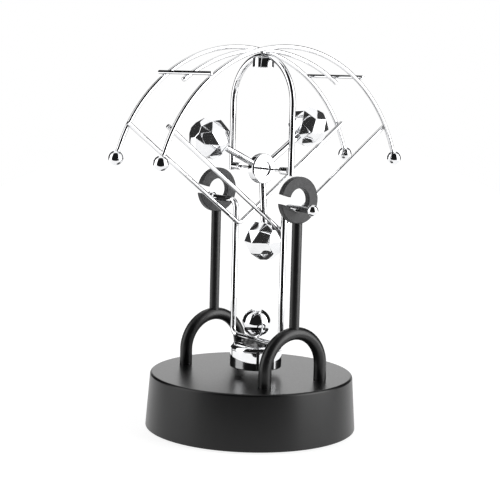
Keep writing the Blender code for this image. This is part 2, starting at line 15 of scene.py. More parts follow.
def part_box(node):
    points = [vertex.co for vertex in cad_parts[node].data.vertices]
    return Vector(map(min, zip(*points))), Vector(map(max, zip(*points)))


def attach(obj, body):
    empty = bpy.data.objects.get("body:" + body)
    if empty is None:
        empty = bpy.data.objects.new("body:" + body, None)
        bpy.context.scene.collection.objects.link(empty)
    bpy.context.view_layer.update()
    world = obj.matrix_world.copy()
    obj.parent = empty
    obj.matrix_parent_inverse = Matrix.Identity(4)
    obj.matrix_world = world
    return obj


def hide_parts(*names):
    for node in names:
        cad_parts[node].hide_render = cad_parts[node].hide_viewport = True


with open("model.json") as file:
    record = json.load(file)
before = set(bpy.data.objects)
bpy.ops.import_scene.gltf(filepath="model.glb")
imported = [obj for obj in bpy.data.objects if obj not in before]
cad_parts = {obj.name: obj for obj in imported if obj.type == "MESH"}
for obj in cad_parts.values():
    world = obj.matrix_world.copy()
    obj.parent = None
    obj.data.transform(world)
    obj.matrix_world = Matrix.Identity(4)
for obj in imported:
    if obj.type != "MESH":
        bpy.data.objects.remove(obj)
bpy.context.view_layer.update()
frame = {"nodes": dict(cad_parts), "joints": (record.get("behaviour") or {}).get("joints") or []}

MM = 0.001

# Camera, from the photographed view: azimuth 0 looks along +Y
VIEW_AZIMUTH = -38.37
VIEW_ELEVATION = 6.7
VIEW_ROLL = 1.5
VIEW_DISTANCE = 0.7154
VIEW_TARGET = Vector((0, 0, 0.1))
FOCAL_LENGTH = 99.3
FRAME_SHIFT = (-0.0095, -0.0245)

# Light tent and the pale card that the toy stands on, measured from the toy's middle
TENT_WHITE = 1.14
TENT_BACK = 1.5
TENT_LEFT = 2.1
TENT_RIGHT = 4.5
TENT_DARK = 0.012
TENT_SIDES = (0.6, 0.85)  # where the side walls' own white starts and is full
TENT_REAR = (-0.97, -0.85)
CARD_FRONT = 0.21
CARD_SIDE = 0.4
CARD_BACK = 3.0
CARD_WHITE = 0.25
CARD_GLOW = 0.87

# Base
TOP_TAPER = 2.1 * MM
TOP_EDGE = 1.3 * MM
WALL = 2.4 * MM
TOP_PLATE = 2.6 * MM
BOSS_CIRCLE = 44.0 * MM
BOSS_ANGLES = (90, 210, 330)
BOSS_RADIUS = 3.5 * MM
BOSS_BORE = 1.6 * MM
BOSS_FOOT = 3.4 * MM

# Supports
ARCH_TUBE = 3.25 * MM
POST_RADIUS = 2.6 * MM
POST_SEAT_GAP = 0.05 * MM
POST_INTO_RING = 0.6 * MM
RING_INNER = 6.0 * MM
RING_EDGE = 0.45 * MM
RING_UPPER_JAW = 164  # degrees, from +X towards +Z
RING_LOWER_TIP = 187
RING_LOWER_ROOT = 235
RING_TIP_BULGE = 0.5 * MM

# Pendulum wires and balls
LOOP_WIRE = 1.5 * MM
LOOP_BEND = 4.5 * MM
ARC_WIRE = 1.1 * MM
ARC_RADIUS = 78.4 * MM
ARC_CENTRE = 1.5 * MM  # above the pivot axis
ARC_END = 16.1
V_WIRE = 1.1 * MM
BAR_WIRE = 0.95 * MM
BAR_ANGLE = 52.8
MIDDLE_OVERHANG = 3.2 * MM
AXLE_ARCH_WIRE = 1.5 * MM
PIN_BALL = 2.9 * MM
TIP_BALL = 3.8 * MM
FILLET_RIM = 0.55 * MM
FILLET = ((0, 1.1 * MM), (0.08 * MM, 0.5 * MM), (0.25 * MM, 0.12 * MM))  # (past the wire, below the rim)
MAGNET_WALL = 1.6 * MM
MAGNET_SEAM = 2.6 * MM  # below the top
MAGNET_SHOULDER = 2.2 * MM
SOLDER_SIZE = (10.0 * MM, 5.0 * MM, 2.2 * MM)

# Weld beads: (length, radius)
V_END_BEAD = (3.0 * MM, 0.75 * MM)
V_ROOT_BEAD = (3.4 * MM, 0.8 * MM)
BAR_BEAD = (2.6 * MM, 0.6 * MM)
CROWN_BEAD = (4.0 * MM, 0.9 * MM)
SLUG_BEAD = (1.6 * MM, 1.6 * MM)
LOOP_BALL_BEAD = (4.6 * MM, 1.0 * MM)

# Rotor
AXLE_RADIUS = 0.65 * MM
BEARING_BORE = 0.3 * MM  # round the axle
BEARING_DEPTH = 2.2 * MM
BEARING_GROOVE = (1.1 * MM, 1.3 * MM, 1.6 * MM, 1.8 * MM)
HUB_RECESS = 4.1 * MM
HUB_DEPTH = 1.1 * MM
HUB_BOSS = 1.9 * MM
HUB_BOSS_RISE = 0.5 * MM
HUB_EDGE = 0.95 * MM
ARM_RADIUS = 1.7 * MM
ROTOR_BALL = 10.75 * MM
ROTOR_ORBIT = 37.2 * MM
ROTOR_REST_TURN = 5
FACET_LATITUDES = (-66, -34, 0, 34, 66)
FACET_SECTORS = 8
FACET_SWELL = 0.1  # 0 is flat, 1 is round
FACET_RIDGE = 0.2 * MM
BALL_TURNS = (33, 17, 28)  # each ball's own turn on its arm


def low(node):
    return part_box(node)[0]


def high(node):
    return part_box(node)[1]


def middle(node):
    return (low(node) + high(node)) / 2


def joint(name):
    """A joint's point in the row frame."""
    found = next(j for j in frame["joints"] if j["name"] == name)
    return Vector(found["pos_m"])


PIVOT = joint("pendulum_swing")
AXLE = joint("rotor_spin")
PENDULUM_Y = middle("swing_loop").y
HUB = Vector((0, middle("rotor_hub").y, AXLE.z))


# ---------------------------------------------------------------- materials

def shader(name, colour, metallic, roughness, **constants):
    """A Principled material. Constants go on the shader's own sockets."""
    made = bpy.data.materials.new(name)
    made.use_nodes = True
    node = made.node_tree.nodes["Principled BSDF"]
    node.inputs["Base Color"].default_value = (*colour, 1)
    node.inputs["Metallic"].default_value = metallic
    node.inputs["Roughness"].default_value = roughness
    for socket, value in constants.items():
        node.inputs[socket.replace("_", " ")].default_value = value
    made.diffuse_color = (*colour, 1)
    return made


def add(material, kind, **settings):
    """A new node. Each setting is one of its sockets, or else one of its properties."""
    node = material.node_tree.nodes.new(kind)
    for key, value in settings.items():
        if key in node.inputs:
            node.inputs[key].default_value = value
        else:
            setattr(node, key, value)
    return node


def link(material, source, target):
    material.node_tree.links.new(source, target)


def principled(material):
    return material.node_tree.nodes["Principled BSDF"]


def object_point(material):
    return add(material, "ShaderNodeTexCoord").outputs["Object"]


def noise(material, size, detail, stretch=None):
    """Noise whose features are about this size in metres. stretch scales it along X, Y and Z."""
    point = object_point(material)
    if stretch:
        mapping = add(material, "ShaderNodeMapping")
        mapping.inputs["Scale"].default_value = stretch
        link(material, point, mapping.inputs["Vector"])
        point = mapping.outputs["Vector"]
    node = add(material, "ShaderNodeTexNoise", Scale=1 / size, Detail=detail)
    link(material, point, node.inputs["Vector"])
    return node.outputs["Fac"]


def spread(material, value, lowest, highest, start=0.3, stop=0.7):
    """The value between start and stop, mapped to lowest and highest."""
    node = add(material, "ShaderNodeMapRange")
    for key, number in zip(("From Min", "From Max", "To Min", "To Max"), (start, stop, lowest, highest)):
        node.inputs[key].default_value = number
    link(material, value, node.inputs["Value"])
    return node.outputs["Result"]


def two_colours(material, value, first, second):
    """A colour from first, where the value is 0, to second, where it is 1."""
    node = add(material, "ShaderNodeMix", data_type="RGBA")
    colours = [s for s in node.inputs if s.type == "RGBA"]
    colours[0].default_value = (*first, 1)
    colours[1].default_value = (*second, 1)
    link(material, value, node.inputs["Factor"])
    return next(s for s in node.outputs if s.type == "RGBA")


def tint(material, value, first, second):
    link(material, two_colours(material, value, first, second), principled(material).inputs["Base Color"])


def roughen(material, value, smoothest, roughest):
    link(material, spread(material, value, smoothest, roughest), principled(material).inputs["Roughness"])


def bump(material, value, depth, strength=1.0, below=None):
    """Bump of this depth in metres. below is another bump's normal that it goes on top of."""
    node = add(material, "ShaderNodeBump", Strength=strength, Distance=depth)
    link(material, value, node.inputs["Height"])
    if below:
        link(material, below, node.inputs["Normal"])
    link(material, node.outputs["Normal"], principled(material).inputs["Normal"])
    return node.outputs["Normal"]


def black_plastic():
    """Satin moulded plastic with a fine spark-eroded grain."""
    made = shader("black_plastic_satin", (0.0035, 0.0035, 0.004), 0, 0.32, IOR=1.44)
    cloud = noise(made, 9 * MM, 4)
    tint(made, spread(made, cloud, 0, 1), (0.0022, 0.0022, 0.0025), (0.0036, 0.0036, 0.004))
    roughen(made, noise(made, 0.9 * MM, 5), 0.305, 0.335)
    grain = noise(made, 0.32 * MM, 2)
    bump(made, grain, 0.006 * MM, 0.5)
    return made


def black_coating():
    """Satin black coating on steel tube, slightly uneven as it is sprayed."""
    made = shader("black_coating", (0.004, 0.004, 0.0044), 0, 0.3, IOR=1.49)
    cloud = noise(made, 6 * MM, 4)
    tint(made, spread(made, cloud, 0, 1), (0.005, 0.005, 0.0053), (0.0075, 0.0075, 0.008))
    roughen(made, noise(made, 1.2 * MM, 4), 0.3, 0.38)
    peel = bump(made, noise(made, 1.4 * MM, 1), 0.02 * MM, 0.35)
    bump(made, noise(made, 0.25 * MM, 2), 0.006 * MM, 0.5, peel)
    return made


def grey_coating():
    """Charcoal coating of the pivot rings."""
    made = shader("grey_coating", (0.048, 0.048, 0.05), 0, 0.42, IOR=1.32)
    cloud = noise(made, 4 * MM, 5)
    tint(made, spread(made, cloud, 0, 1), (0.043, 0.043, 0.045), (0.056, 0.056, 0.058))
    roughen(made, noise(made, 1.5 * MM, 4), 0.38, 0.48)
    bump(made, noise(made, 0.3 * MM, 3), 0.012 * MM, 0.6)
    return made


def chrome(name, lowest, highest, ripple, metallic=1.0, **constants):
    """Mirror plating: faint haze, hairline waviness and a few polishing scratches."""
    made = shader(name, (0.86, 0.865, 0.88), metallic, 0.05, **constants)
    haze = noise(made, 5 * MM, 5)
    tint(made, spread(made, haze, 0, 1), (0.83, 0.835, 0.85), (0.9, 0.905, 0.915))
    roughen(made, noise(made, 1.8 * MM, 5), lowest, highest)
    wave = bump(made, noise(made, 3.5 * MM, 1), ripple, 0.3)
    scratch = noise(made, 0.25 * MM, 2, stretch=(1, 1, 0.08))
    bump(made, spread(made, scratch, 0, 1, 0.66, 0.8), 0.0008 * MM, 0.4, wave)
    return made


def solder():
    """Dull grey solder, darkened by flux."""
    made = shader("grey_solder", (0.12, 0.12, 0.12), 1, 0.42)
    cloud = noise(made, 1.6 * MM, 5)
    tint(made, spread(made, cloud, 0, 1), (0.04, 0.04, 0.042), (0.2, 0.2, 0.2))
    roughen(made, noise(made, 0.8 * MM, 3), 0.3, 0.55)
    bump(made, noise(made, 1.1 * MM, 4), 0.12 * MM, 0.7)
    return made


def rubber():
    """Dull black rubber with a little dust on it."""
    made = shader("foot_rubber", (0.022, 0.022, 0.022), 0, 0.85)
    dust = noise(made, 1.2 * MM, 6)
    tint(made, spread(made, dust, 0, 1, 0.5, 0.75), (0.02, 0.02, 0.02), (0.05, 0.048, 0.046))
    roughen(made, dust, 0.75, 0.92)
    bump(made, noise(made, 0.2 * MM, 3), 0.02 * MM, 0.6)
    return made


def copper():
    """Enamelled wire, wound in close turns round Z."""
    made = shader("copper_winding", (0.7, 0.28, 0.1), 1, 0.28, Coat_Weight=0.6, Coat_Roughness=0.08)
    wave = add(made, "ShaderNodeTexWave", Scale=1 / (1.8 * MM), Distortion=0.6, Detail=1.0)
    wave.bands_direction = "Z"
    link(made, object_point(made), wave.inputs["Vector"])
    tint(made, wave.outputs["Fac"], (0.42, 0.13, 0.04), (0.8, 0.36, 0.15))
    roughen(made, noise(made, 1 * MM, 3), 0.22, 0.34)
    bump(made, wave.outputs["Fac"], 0.05 * MM, 0.8)
    return made


def nylon():
    """Off-white moulded nylon."""
    made = shader("coil_nylon", (0.7, 0.67, 0.6), 0, 0.5, Subsurface_Weight=0.15)
    cloud = noise(made, 4 * MM, 4)
    tint(made, spread(made, cloud, 0, 1), (0.64, 0.61, 0.54), (0.74, 0.72, 0.65))
    roughen(made, cloud, 0.42, 0.58)
    bump(made, noise(made, 0.3 * MM, 2), 0.01 * MM, 0.5)
    return made


def metal(name, dark, light, smoothest, roughest, grain, stretch=None):
    """Bare or zinc-plated metal with a directional grain."""
    made = shader(name, light, 1, roughest)
    cloud = noise(made, 2.5 * MM, 5)
    tint(made, spread(made, cloud, 0, 1), dark, light)
    lines = noise(made, grain, 3, stretch=stretch)
    roughen(made, lines, smoothest, roughest)
    bump(made, lines, 0.006 * MM, 0.5)
    return made


def board():
    """Green laminate with pale pads."""
    made = shader("circuit_laminate", (0.02, 0.13, 0.05), 0, 0.42, Coat_Weight=0.3, Coat_Roughness=0.2)
    cells = add(made, "ShaderNodeTexVoronoi", Scale=1 / (4 * MM))
    link(made, object_point(made), cells.inputs["Vector"])
    pads = spread(made, cells.outputs["Distance"], 1, 0, 0.16, 0.2)
    tint(made, pads, (0.018, 0.12, 0.045), (0.62, 0.6, 0.55))
    roughen(made, noise(made, 0.5 * MM, 3), 0.35, 0.5)
    bump(made, pads, 0.08 * MM, 0.6)
    return made


def cell_wrap():
    """A plain printed sleeve: slate with one pale band towards the raised end."""
    made = shader("cell_sleeve", (0.06, 0.075, 0.1), 0.3, 0.32, Coat_Weight=0.5, Coat_Roughness=0.12)
    axes = add(made, "ShaderNodeSeparateXYZ")
    link(made, object_point(made), axes.inputs["Vector"])
    band = spread(made, axes.outputs["Z"], 0, 1, 13.0 * MM, 13.2 * MM)
    tint(made, band, (0.055, 0.068, 0.09), (0.55, 0.56, 0.58))
    roughen(made, noise(made, 2 * MM, 4), 0.27, 0.38)
    bump(made, noise(made, 1.5 * MM, 2), 0.01 * MM, 0.4)
    return made


WIRE = "drawn_chrome"
ZINC = ((0.5, 0.51, 0.52), (0.68, 0.69, 0.7))
LOOKS = {
    "black_plastic": black_plastic(),
    "black_steel": black_coating(),
    "grey_steel": grey_coating(),
    "chrome": chrome("chrome_plating", 0.012, 0.03, 0.004 * MM),
    WIRE: chrome("chrome_on_wire", 0.015, 0.035, 0.004 * MM, Specular_Tint=(0, 0, 0, 1)),
    "solder": solder(),
    "plated_plastic": chrome("chrome_on_plastic", 0.015, 0.035, 0.004 * MM, metallic=0.955),
    "rubber": rubber(),
    "cell_wrap": cell_wrap(),
    "copper": copper(),
    "nylon": nylon(),
    "iron": metal("soft_iron", (0.2, 0.2, 0.2), (0.34, 0.33, 0.32), 0.4, 0.6, 0.6 * MM),
    "board": board(),
    "steel": metal("zinc_steel", *ZINC, 0.22, 0.38, 0.4 * MM, (1, 1, 0.1)),
    "magnet": metal("ferrite", (0.035, 0.035, 0.037), (0.06, 0.06, 0.062), 0.5, 0.65, 0.5 * MM),
}


# ---------------------------------------------------------------- mesh helpers

def piece(name, shape, slot, body, *nodes, smooth=35, look=None, even=True):
    """A finished piece from bmesh data: it takes a slot's look or a given one, and stands for CAD nodes."""
    bmesh.ops.recalc_face_normals(shape, faces=shape.faces)
    mesh = bpy.data.meshes.new(name)
    shape.to_mesh(mesh)
    shape.free()
    mesh.materials.append(LOOKS[look or slot])
    mesh.shade_smooth()
    mesh.set_sharp_from_angle(angle=math.radians(smooth))
    obj = bpy.data.objects.new(name, mesh)
    bpy.context.scene.collection.objects.link(obj)
    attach(obj, body)
    if nodes:
        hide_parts(*nodes)
    return even_normals(obj) if even else obj


def even_normals(obj):
    """Keeps large faces true beside small rounded edges."""
    weighted = obj.modifiers.new("even_normals", "WEIGHTED_NORMAL")
    weighted.keep_sharp = True
    return obj


def facing(axis):
    """The turn that takes +Z to an axis."""
    return Vector((0, 0, 1)).rotation_difference(Vector(axis)).to_matrix().to_4x4()


def arc(radius, start, stop, steps):
    """Points on a circle, from one angle to another in degrees."""
    angles = (math.radians(start + (stop - start) * k / steps) for k in range(steps + 1))
    return [(radius * math.cos(a), radius * math.sin(a)) for a in angles]


def eased(corners, radii, steps=6):
    """An outline through these corners, each inner one rounded to its own radius (0 keeps it sharp)."""
    corners = [Vector(c) for c in corners]
    path = [corners[0]]
    for before, corner, after, radius in zip(corners, corners[1:], corners[2:], radii):
        if not radius:
            path.append(corner)
            continue
        into = (before - corner).normalized()
        out = (after - corner).normalized()
        half = into.angle(out) / 2
        centre = corner + (into + out).normalized() * radius / math.sin(half)
        first = corner + into * radius / math.tan(half) - centre
        last = corner + out * radius / math.tan(half) - centre
        sweep = first.angle(last)
        for k in range(steps + 1):
            part = k / steps
            mix = first * math.sin((1 - part) * sweep) + last * math.sin(part * sweep)
            path.append(centre + mix / math.sin(sweep))
    path.append(corners[-1])
    return path


def lathe(profile, segments=64, at=(0, 0, 0), axis=(0, 0, 1), shape=None):
    """A solid of revolution. The profile is (radius, height) and runs pole to pole or round."""
    turned = bmesh.new()
    rings = []
    for radius, height in profile:
        if radius < 1e-9:
            rings.append([turned.verts.new((0, 0, height))])
            continue
        turns = (2 * math.pi * k / segments for k in range(segments))
        points = ((radius * math.cos(t), radius * math.sin(t), height) for t in turns)
        rings.append([turned.verts.new(point) for point in points])
    pairs = list(zip(rings, rings[1:]))
    if len(rings[0]) > 1 and len(rings[-1]) > 1:
        pairs.append((rings[-1], rings[0]))
    for first, second in pairs:
        for k in range(segments):
            n = (k + 1) % segments
            if len(first) == 1:
                turned.faces.new((first[0], second[k], second[n]))
            elif len(second) == 1:
                turned.faces.new((first[k], first[n], second[0]))
            else:
                turned.faces.new((first[k], first[n], second[n], second[k]))
    turned.transform(Matrix.Translation(at) @ facing(axis))
    return merged(shape, turned) if shape else turned


def merged(shape, other):
    """Both shapes in one mesh."""
    carrier = bpy.data.meshes.new("carrier")
    other.to_mesh(carrier)
    other.free()
    shape.from_mesh(carrier)
    bpy.data.meshes.remove(carrier)
    return shape


def skin(shape, rings):
    """Faces between each ring of vertices and the next."""
    for first, second in zip(rings, rings[1:]):
        for k in range(len(first)):
            n = (k + 1) % len(first)
            shape.faces.new((first[k], first[n], second[n], second[k]))


def wire(path, radius, sides, dome=0.0):
    """A round wire along a path. dome rounds each end off over this length."""
    path = [Vector(p) for p in path]
    radii = [radius] * len(path)
    if dome:
        steps = 5
        blunt = 0.12  # of the radius, left flat at the very end
        ahead = (path[1] - path[0]).normalized()
        behind = (path[-2] - path[-1]).normalized()
        turns = [math.pi / 2 * k / steps for k in range(steps)]
        slim = [radius * max(math.sin(t), blunt) for t in turns]
        start = [path[0] + ahead * dome * (1 - math.cos(t)) for t in turns]
        stop = [path[-1] + behind * dome * (1 - math.cos(t)) for t in turns]
        path = [*start, path[0] + ahead * dome, *path[1:-1], path[-1] + behind * dome, *reversed(stop)]
        radii = [*slim, *([radius] * (len(path) - 2 * steps)), *reversed(slim)]
    swept = bmesh.new()
    across = None
    rings = []
    for k, point in enumerate(path):
        before = path[max(k - 1, 0)]
        after = path[min(k + 1, len(path) - 1)]
        ahead = (after - before).normalized()
        if across is None:
            across = ahead.orthogonal().normalized()
        across = (across - ahead * across.dot(ahead)).normalized()
        beside = ahead.cross(across)
        ring = []
        for s in range(sides):
            turn = 2 * math.pi * s / sides
            outward = across * math.cos(turn) + beside * math.sin(turn)
            ring.append(swept.verts.new(point + radii[k] * outward))
        rings.append(ring)
    skin(swept, rings)
    swept.faces.new(reversed(rings[0]))
    swept.faces.new(rings[-1])
    return swept


def bead(shape, at, along, size):
    """Adds a small weld bead: a smooth spindle on a joint between two wires."""
    length, radius = size
    turns = [math.radians(angle) for angle in range(-90, 91, 15)]
    profile = [(radius * math.cos(t), length / 2 * math.sin(t)) for t in turns]
    profile[0] = (0, -length / 2)
    profile[-1] = (0, length / 2)
    return lathe(profile, 20, at, along, shape)


def ball(radius, collar=0.0, steps=28):
    """A ball's profile, from its lower pole up. collar is a wire's radius, and adds a fillet round it."""
    points = arc(radius, -90, 90, steps)
    points[0] = (0, -radius)
    points[-1] = (0, radius)
    if not collar:
        return points
    lean = math.degrees(math.asin(min(1, (collar + FILLET_RIM) / radius)))
    points = arc(radius, lean - 90, 90, steps)
    points[-1] = (0, radius)
    rim = points[0][1]
    neck = [(collar + past, rim - below) for past, below in FILLET]
    return [(0, neck[0][1]), *neck, *points]


def on_pendulum(x, y, z):
    """A point given from the pivot axis and the pendulum's own mid-plane."""
    return Vector((x, PENDULUM_Y + y, PIVOT.z + z))


# ---------------------------------------------------------------- base

def base():
    """The shell: a hollow turned wall and top plate, with the cover's screw bosses inside."""
    bottom, top = low("base_housing").z, high("base_housing").z
    radius = high("base_housing").x
    ceiling = top - TOP_PLATE
    corners = [
        (0, ceiling), (radius - TOP_TAPER - WALL, ceiling), (radius - WALL, bottom), (radius, bottom),
        (radius - TOP_TAPER, top), (0, top),
    ]
    shell = lathe(eased(corners, (0.8 * MM, 0.3 * MM, 0.5 * MM, TOP_EDGE), 7), 192)
    for angle in BOSS_ANGLES:
        turn = math.radians(angle)
        at = Vector((BOSS_CIRCLE * math.cos(turn), BOSS_CIRCLE * math.sin(turn), 0))
        boss = [
            (BOSS_BORE, BOSS_FOOT), (BOSS_RADIUS, BOSS_FOOT),
            (BOSS_RADIUS, ceiling + 0.2 * MM), (BOSS_BORE, ceiling),
        ]
        lathe(boss, 24, at, shape=shell)
    piece("base_shell", shell, "black_plastic", "stand", "base_housing")


def feet():
    """Four rubber feet with a rounded lower edge."""
    for k in range(1, 5):
        node = f"rubber_foot_{k}"
        foot_low, foot_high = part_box(node)
        foot_radius = (foot_high.x - foot_low.x) / 2
        corners = [(0, foot_high.z), (foot_radius, foot_high.z), (foot_radius, foot_low.z), (0, foot_low.z)]
        at = Vector((middle(node).x, middle(node).y, 0))
        foot = lathe(eased(corners, (0.15 * MM, 0.5 * MM)), 40, at)
        piece(f"base_foot_{k}", foot, "rubber", "stand", node)


def softened(name, node, slot, body, edge):
    """A copy of a CAD node's shape with its edges rounded."""
    shape = bmesh.new()
    shape.from_mesh(frame["nodes"][node].data)
    bmesh.ops.remove_doubles(shape, verts=shape.verts, dist=0.002 * MM)
    bmesh.ops.dissolve_limit(shape, angle_limit=math.radians(1), verts=shape.verts, edges=shape.edges)
    obj = piece(name, shape, slot, body, node, even=False)
    rounding = obj.modifiers.new("rounded_edges", "BEVEL")
    rounding.width = edge
    rounding.segments = 3
    rounding.limit_method = "ANGLE"
    rounding.angle_limit = math.radians(40)
    return even_normals(obj)


def inner_parts():
    """What shows from below, with the door open or shut: cover, door, cells and contacts."""
    softened("bottom_cover", "base_cover", "black_plastic", "stand", 0.2 * MM)
    softened("cell_door", "battery_door", "black_plastic", "door", 0.2 * MM)
    for k in range(1, 5):
        cell(f"cell_{k}", f"battery_cell_{k}")
    for side in ("front", "rear"):
        softened(f"{side}_contacts", f"{side}_contact_strip", "steel", "stand", 0.08 * MM)


def cell(name, node):
    """A dry cell along Y, with a raised end, a crimped sleeve and a flat end."""
    start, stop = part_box(node)
    radius = (stop.x - start.x) / 2
    at = middle(node)
    way = 1 if int(node[-1]) % 2 == 0 else -1
    half = (stop.y - start.y) / 2
    nub = 1.2 * MM
    nub_radius = 2.7 * MM
    shoulder = half - nub
    corners = [
        (0, -half), (radius * 0.62, -half), (radius * 0.66, -half + 0.35 * MM),
        (radius - 0.5 * MM, -half + 0.35 * MM), (radius, -half + 0.7 * MM),
        (radius, shoulder - 0.5 * MM), (radius - 0.4 * MM, shoulder),
        (radius * 0.74, shoulder), (radius * 0.7, shoulder - 0.4 * MM),
        (nub_radius, shoulder - 0.4 * MM), (nub_radius, half), (0, half),
    ]
    radii = (0.1, 0.1, 0.2, 0.3, 0.3, 0.2, 0.1, 0.1, 0.2, 0.4)
    shape = lathe(eased(corners, [r * MM for r in radii], 4), 48)
    obj = piece(name, shape, "cell_wrap", "stand", node)
    obj.matrix_world = Matrix.Translation(at) @ facing((0, way, 0))


# ---------------------------------------------------------------- supports

def arch_path(node):
    """The centre line of a foot arch: up, over in a half circle, and down to the base's top."""
    start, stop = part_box(node)
    y = middle(node).y
    half = (stop.x - start.x) / 2 - ARCH_TUBE
    spring = stop.z - ARCH_TUBE - half
    foot = high("base_housing").z
    over = [Vector((x, y, spring + z)) for x, z in arc(half, 180, 0, 64)]
    return [Vector((-half, y, foot)), *over, Vector((half, y, foot))], half, spring


def supports():
    """On each side, a foot arch, the post on its crown and the ring that holds a pin."""
    for side in ("front", "rear"):
        node = f"{side}_foot_arch"
        path, half, spring = arch_path(node)
        piece(f"{side}_arch", wire(path, ARCH_TUBE, 48), "black_steel", "stand", node, smooth=60)
        post(side, half, spring)
        ring(side)


def post(side, half, spring):
    """A rod whose lower end is cut to the arch's crown and whose upper end meets the ring."""
    node = f"{side}_post"
    y = middle(node).y
    top = high(node).z + POST_INTO_RING
    shape = bmesh.new()
    sides = 64
    levels = 6
    rings = []
    for level in range(levels + 1):
        ring_points = []
        for s in range(sides):
            turn = 2 * math.pi * s / sides
            x, across = POST_RADIUS * math.cos(turn), POST_RADIUS * math.sin(turn)
            crown = half + math.sqrt(ARCH_TUBE ** 2 - across ** 2)
            seat = spring + math.sqrt(crown ** 2 - x ** 2) + POST_SEAT_GAP
            ring_points.append(shape.verts.new((x, y + across, seat + (top - seat) * level / levels)))
        rings.append(ring_points)
    skin(shape, rings)
    shape.faces.new(rings[-1])
    shape.faces.new(reversed(rings[0]))
    piece(f"{side}_rod", shape, "black_steel", "stand", node)


def ring_outline(outer):
    """The open ring seen from the front, as (x, z) from its centre."""
    rim = arc(outer, RING_UPPER_JAW, RING_LOWER_TIP - 360, 120)
    bore = arc(RING_INNER, RING_LOWER_ROOT - 360, RING_UPPER_JAW, 96)
    tip, root = Vector(rim[-1]), Vector(bore[0])
    steps = 12
    parts = [k / steps for k in range(1, steps)]
    bulges = [Vector((0, RING_TIP_BULGE * math.sin(math.pi * part))) for part in parts]
    crescent = [tip.lerp(root, part) + bulge for part, bulge in zip(parts, bulges)]
    return [Vector(p) for p in (*rim, *crescent, *bore)]


def ring(side):
    """A plate with rounded edges in the ring's outline."""
    node = f"{side}_pivot_ring"
    start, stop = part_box(node)
    centre = middle(node)
    outer = (stop.z - start.z) / 2
    thickness = stop.y - start.y
    outline = ring_outline(outer)
    count = len(outline)
    inward = []
    for k, point in enumerate(outline):
        ahead = (outline[(k + 1) % count] - point).normalized()
        behind = (point - outline[k - 1]).normalized()
        normal = Vector((ahead.y + behind.y, -ahead.x - behind.x))
        mitre = normal.normalized() / max(0.5, normal.length / 2)
        inward.append(mitre)
    shape = bmesh.new()
    steps = 5
    loops = []
    for facing_side in (-1, 1):
        order = range(steps + 1) if facing_side < 0 else range(steps, -1, -1)
        for step in order:
            turn = math.pi / 2 * step / steps
            inset = RING_EDGE * (1 - math.sin(turn))
            depth = thickness / 2 - RING_EDGE * (1 - math.cos(turn))
            loop = []
            for point, toward in zip(outline, inward):
                x, z = point + toward * inset
                loop.append(shape.verts.new((x, centre.y + facing_side * depth, centre.z + z)))
            loops.append(loop)
    skin(shape, loops)
    shape.faces.new(loops[0])
    shape.faces.new(loops[-1])
    piece(f"{side}_ring", shape, "grey_steel", "stand", node)


# ---------------------------------------------------------------- pendulum

def loop_and_pins():
    """One wire from pin to pin, down one side and up the other, and the balls on its ends."""
    end = (high("swing_loop").y - low("swing_loop").y) / 2
    loop_y = high("rear_v_wire").y - PENDULUM_Y + LOOP_WIRE + 0.3 * MM
    bottom = low("swing_loop").z - PIVOT.z + LOOP_WIRE
    corners = [(0, -end, 0), (0, -loop_y, 0), (0, -loop_y, bottom)]
    corners += [(x, -y, z) for x, y, z in reversed(corners)]
    path = eased([on_pendulum(*c) for c in corners], [LOOP_BEND] * 4, 16)
    shape = wire(path, LOOP_WIRE, 32)
    piece("wire_loop", shape, "chrome", "pendulum", "swing_loop", smooth=60, look=WIRE)
    for side, hand in (("front", 1), ("rear", -1)):
        node = f"{side}_pin_ball"
        shape = lathe(ball(PIN_BALL, LOOP_WIRE), 56, middle(node), (0, -hand, 0))
        piece(f"{side}_stop_ball", shape, "chrome", "pendulum", node)


def v_wires():
    """A V in front of the loop and one behind, welded to its legs and to the arcs."""
    for side, hand in (("front", -1), ("rear", 1)):
        node = f"{side}_v_wire"
        start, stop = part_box(node)
        y = middle(node).y
        root = start.z + V_WIRE
        reach = stop.x
        rise = stop.z
        run = Vector((reach, 0, rise - root)).normalized()
        corners = [(-reach, y, rise), (0, y, root), (reach, y, rise)]
        shape = wire(eased(corners, [3 * MM], 12), V_WIRE, 24, 0.2 * MM)
        for x in (-1, 1):
            weld = Vector((x * (reach - 1.4 * MM), y + hand * V_WIRE, rise - 1.2 * MM))
            bead(shape, weld, (x * run.x, 0, run.z), V_END_BEAD)
        bead(shape, (0, y + hand * V_WIRE, root + 0.4 * MM), (0, 0, 1), V_ROOT_BEAD)
        piece(f"{side}_v_frame", shape, "chrome", "pendulum", node, smooth=50, look=WIRE)


def arcs():
    """The two large arcs and the balls on their ends."""
    for side in ("front", "rear"):
        node = f"{side}_arc"
        y = middle(node).y
        points = arc(ARC_RADIUS, 180 - ARC_END, ARC_END, 120)
        path = [Vector((x, y, PIVOT.z + ARC_CENTRE + z)) for x, z in points]
        piece(f"{side}_hoop", wire(path, ARC_WIRE, 24), "chrome", "pendulum", node, smooth=60, look=WIRE)
        for hand, angle, turn in (("left", 180 - ARC_END, -1), ("right", ARC_END, 1)):
            ball_node = f"{side}_{hand}_tip_ball"
            slope = math.radians(angle)
            toward_wire = Vector((-turn * math.sin(slope), 0, turn * math.cos(slope)))
            shape = lathe(ball(TIP_BALL, ARC_WIRE), 64, middle(ball_node), -toward_wire)
            piece(f"{side}_{hand}_end_ball", shape, "chrome", "pendulum", ball_node)


